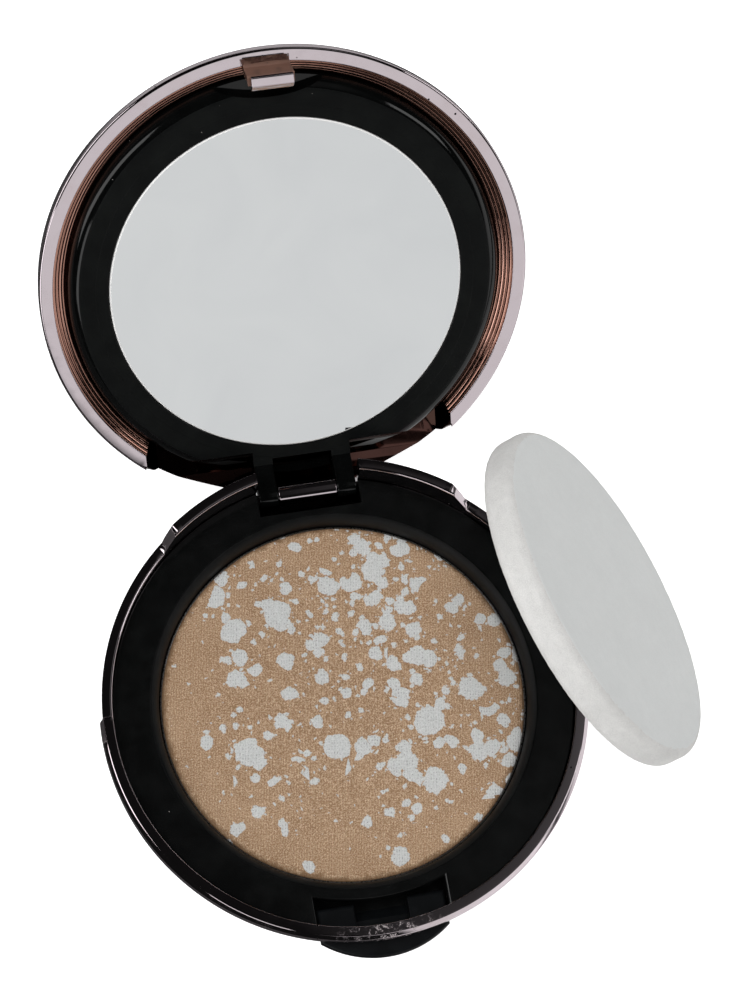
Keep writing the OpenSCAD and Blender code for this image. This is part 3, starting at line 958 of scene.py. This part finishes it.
def make_arm(side, plastic):
    s = LID_Z
    section = [(31.2, s - FRAME_PROUD + 0.01)]
    start, end = math.radians(219), math.radians(386)
    section += around_hinge(np.linspace(start, end, 30))
    section += [(34, s + 1.5), (33.6, s + 2.9), (31.2, s + 2.9)]
    x0, x1 = sorted((side * ARM_IN, side * ARM_OUT))
    piece = bar_x("hinge_arm_right" if side > 0 else "hinge_arm_left", section, x0, x1)
    soften(piece, 0.2, 3, 50)
    smooth(piece)
    return dress(piece, "lid", "mirror_frame", plastic, opened=True)


def make_mirror(glass):
    low = LID_Z + POCKET_S - 0.12 - MIRROR_T
    corners = [(0, low, 0), (MIRROR_R - 0.2, low, 0.04), (MIRROR_R, low + 0.14, 0.04)]
    corners += [(MIRROR_R, low + MIRROR_T, 0.05), (0, low + MIRROR_T, 0)]
    piece = revolve("mirror_glass_fine", outline(corners))
    smooth(piece, 20)
    return dress(piece, "lid", "mirror_glass", glass, node="mirror_glass", opened=True)


# ----------------------------------------------------------------------- puff
def puff_turn():
    low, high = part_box("powder_puff")
    return (
        Matrix.Translation((low + high) / 2)
        @ Matrix.Rotation(math.radians(PUFF_HEAD), 4, "Z")
        @ Matrix.Rotation(math.radians(90 - PUFF_LEAN), 4, "Y")
    )


def make_puff(face_pile_painted_shade, side_pile_painted_light_and_shade):
    """A foam disc in velour: slightly crowned faces, full sides and a fine nap over all of it."""
    rng = np.random.default_rng(11)
    phases = rng.uniform(0, 2 * math.pi, (6, 2))
    half, side = PUFF_T / 2, 1.6
    flat_r = PUFF_R - side
    section = [(r, half * (0.98 + 0.02 * (1 - (r / PUFF_R) ** 2))) for r in np.linspace(0, flat_r, 40)]
    for a in np.radians(np.linspace(8, 90, 12)):
        section.append((flat_r + side * math.sin(a), half - side + side * math.cos(a)))
    section += [(PUFF_R, z) for z in np.linspace(half - side, side - half, 8)[1:-1]]
    under = [(r, -z) for r, z in reversed(section[:52])]
    rings = []
    for angle in np.linspace(0, 2 * math.pi, 481)[:-1]:
        wave = sum(math.sin((k + 2) * angle + p[0]) for k, p in enumerate(phases)) / 6
        ring = []
        for r, z in section + under:
            loose = np.clip((r - 22) / 5, 0, 1)
            out = r * (1 - 0.0015 * (1 + wave)) - loose * (0.06 + abs(rng.normal(0, 0.045)))
            up = z * 0.985 + rng.normal(0, 0.02) * loose
            ring.append((out * math.cos(angle), out * math.sin(angle), up))
        rings.append(ring)
    piece = skin("powder_puff_soft", rings, caps=False, rows_closed=True)
    smooth(piece, 180, weighted=False)
    # the faces take the face tone, darkened as painted shade; the rounded side takes the side tone, spread
    # darker to lighter as painted light and shade
    for face in piece.data.polygons:
        from_axis = math.hypot(face.center.x, face.center.y)
        face.material_index = 1 if from_axis > (flat_r + 0.4) * MM else 0
    piece.data.transform(puff_turn())
    dress(piece, "puff", "powder_puff", face_pile_painted_shade, side_pile_painted_light_and_shade, node="powder_puff")
    piece.visible_glossy = False
    return piece


# --------------------------------------------------------------------- studio
def add_camera():
    data = bpy.data.cameras.new("studio_camera")
    data.lens = CAMERA_LENS
    data.sensor_width = 36
    camera = bpy.data.objects.new("studio_camera", data)
    bpy.context.scene.collection.objects.link(camera)
    back = (CAMERA_PLACE - CAMERA_AIM).normalized()
    right = CAMERA_UP.cross(back).normalized()
    up = back.cross(right)
    turn = Matrix((right, up, back)).transposed().to_4x4()
    camera.matrix_world = Matrix.Translation(CAMERA_PLACE * MM) @ turn
    data.clip_start, data.clip_end = 0.01, 20
    bpy.context.scene.camera = camera


def add_floor():
    """The floor. The camera sees it near-white and glowing; reflections see it nearly black,
    with one glowing zone to the right of the object and one behind it."""
    rows = [[(x, y, 0) for x in (-6000, 6000)] for y in (-6000, 6000)]
    piece = skin("floor", rows, ring_closed=False, caps=False)
    material, tree, shader = new_material("pale_floor")
    where = place(tree)
    axes = add(tree, "ShaderNodeSeparateXYZ", {0: where})
    path = add(tree, "ShaderNodeLightPath")
    mirrored = path.outputs["Is Glossy Ray"]
    tone = mix(tree, noise(tree, where, 60, 2), (0.9, 0.9, 0.9), (0.94, 0.94, 0.94))
    tree.links.new(mix(tree, mirrored, tone, (0.02, 0.02, 0.02)), shader.inputs["Base Color"])
    right = times(tree, ramp(tree, axes.outputs[0], 0, 14), ramp(tree, axes.outputs[0], 280, 220))
    right = times(tree, right, ramp(tree, axes.outputs[1], 46, 42, 0, 0.8))
    behind = ramp(tree, axes.outputs[1], 140, 190, 0.03, 0.4)
    glow = math_node(tree, "MAXIMUM", right, behind)
    level = mix(tree, mirrored, (0.35, 0.35, 0.35), glow_colour(tree, glow))
    level = mix(tree, path.outputs["Is Camera Ray"], level, (0.8, 0.8, 0.8))
    tree.links.new(level, shader.inputs["Emission Color"])
    shader.inputs["Roughness"].default_value = 0.9
    shader.inputs["Emission Strength"].default_value = 1.0
    piece.data.materials.append(material)


def glow_colour(tree, level):
    return add(tree, "ShaderNodeCombineColor", {0: level, 1: level, 2: level}).outputs[0]


def add_world():
    """The camera sees a white world. All else sees a dark one, with a pale sweep low down in
    front and on the right, and a faint patch above."""
    world = bpy.data.worlds.new("studio")
    bpy.context.scene.world = world
    world.use_nodes = True
    tree = world.node_tree
    background = tree.nodes["Background"]
    coords = add(tree, "ShaderNodeTexCoord")
    axes = add(tree, "ShaderNodeSeparateXYZ", {0: coords.outputs["Generated"]})
    x, y, z = axes.outputs
    height = ramp(tree, x, 0.2, 0.5, 0.5, 0.28)
    low = ramp(tree, math_node(tree, "SUBTRACT", z, height), 0, -0.06)
    lean = math_node(tree, "ADD", z, times(tree, x, 0.8))
    front = ramp(tree, lean, 0.278, 0.323)
    right = ramp(tree, x, 0.3, 0.8, 0.72, 1.0)
    sweep = times(tree, times(tree, low, front), right)
    above = times(tree, ramp(tree, z, 0.8, 0.9), ramp(tree, x, 0.08, 0.26, 0, 0.1))
    above = times(tree, above, ramp(tree, y, 0.31, 0.26))
    level = math_node(tree, "ADD", math_node(tree, "ADD", sweep, above), 0.006)
    seen = add(tree, "ShaderNodeLightPath").outputs["Is Camera Ray"]
    level = math_node(tree, "MAXIMUM", level, seen)
    tree.links.new(glow_colour(tree, level), background.inputs["Color"])
    background.inputs["Strength"].default_value = 1.0


def add_light(name, place_mm, aim_mm, size_mm, power):
    data = bpy.data.lights.new(name, "AREA")
    data.shape = "RECTANGLE"
    data.size, data.size_y = size_mm[0] * MM, size_mm[1] * MM
    data.energy = power
    light = bpy.data.objects.new(name, data)
    bpy.context.scene.collection.objects.link(light)
    where, aim = Vector(place_mm) * MM, Vector(aim_mm) * MM
    turn = (aim - where).to_track_quat("-Z", "Y").to_matrix().to_4x4()
    light.matrix_world = Matrix.Translation(where) @ turn
    return light


def build_studio():
    add_camera()
    add_floor()
    add_world()
    overhead = add_light("overhead_fill", (-200, 0, 1000), (0, 20, 0), (1100, 1100), 10)
    overhead.visible_glossy = False
    add_light("front_left_box", (-450, -640, 370), (0, 40, 20), (360, 300), 0.6)
    add_light("left_box", (-735, 0, 530), (0, 60, 40), (330, 760), 1.7)
    add_light("right_box", (660, -170, 600), (0, 60, 40), (260, 300), 0.55)
    bpy.context.scene.view_settings.view_transform = "Standard"


def paint_cad_node(name, material):
    piece = frame["nodes"][name]
    piece.data.materials.clear()
    piece.data.materials.append(material)


def build_compact():
    rose = plated("rose_plating", (0.74, 0.655, 0.69), (0.42, 0.27, 0.22))
    base = plated("base_plating", (0.74, 0.655, 0.69), (0.42, 0.27, 0.22), smeared=True)
    # painted shade: near-black plating for the lid's cut faces and the inner wall by the hinge
    hinge_shade_plating = plated("hinge_side_painted_shade", (0.09, 0.05, 0.04), (0.02, 0.012, 0.01), 0.9)
    # painted reflection: the hook's plate is half-diffuse dull brown, standing in for the brown it reflects;
    # its smudges and pits are wear
    hook = plated("hook_painted_reflection_plating", (0.3, 0.17, 0.13), (0.08, 0.04, 0.03), 1.6, metal=0.45)
    colour = (0.0016, 0.0018, 0.0018)
    gloss = black_plastic("gloss_black", colour, 0.06, 0.14)
    tray = black_plastic("tray_black", (0.0032, 0.0034, 0.0034), 0.06, 0.14, dull_r=31.2)
    satin = black_plastic("satin_black", (0.0035, 0.004, 0.0045), 0.3, 0.42, 0.02, 0.25)
    make_base(base)
    make_knuckle(rose)
    make_tray(tray)
    make_pan(bare_metal("pan_aluminium", (0.8, 0.79, 0.77), (1, 1, 0.1)))
    make_cake(pressed_cake())
    make_button(satin)
    make_lid_shell(rose, inner_plating(), hinge_shade_plating)
    make_catch(hook, rose)
    make_frame(gloss, frame_satin())
    make_mirror(silvered_glass())
    # two tones of one velour, set for how light falls: painted shade darkens the face, and the side spans
    # darker to lighter as painted light and shade
    face_pile_painted_shade = velour("velour_face_painted_shade", (0.74, 0.755, 0.75), (0.85, 0.865, 0.855))
    side_pile_painted_light_and_shade = velour("velour_side_painted_light_and_shade", (0.6, 0.595, 0.58), (0.9, 0.89, 0.87))
    make_puff(face_pile_painted_shade, side_pile_painted_light_and_shade)
    paint_cad_node("hinge_pin", bare_metal("pin_steel", (0.7, 0.7, 0.7), (0.1, 1, 1)))
    adhesive = glue()
    paint_cad_node("pan_adhesive", adhesive)
    paint_cad_node("mirror_adhesive", adhesive)


build_studio()
build_compact()
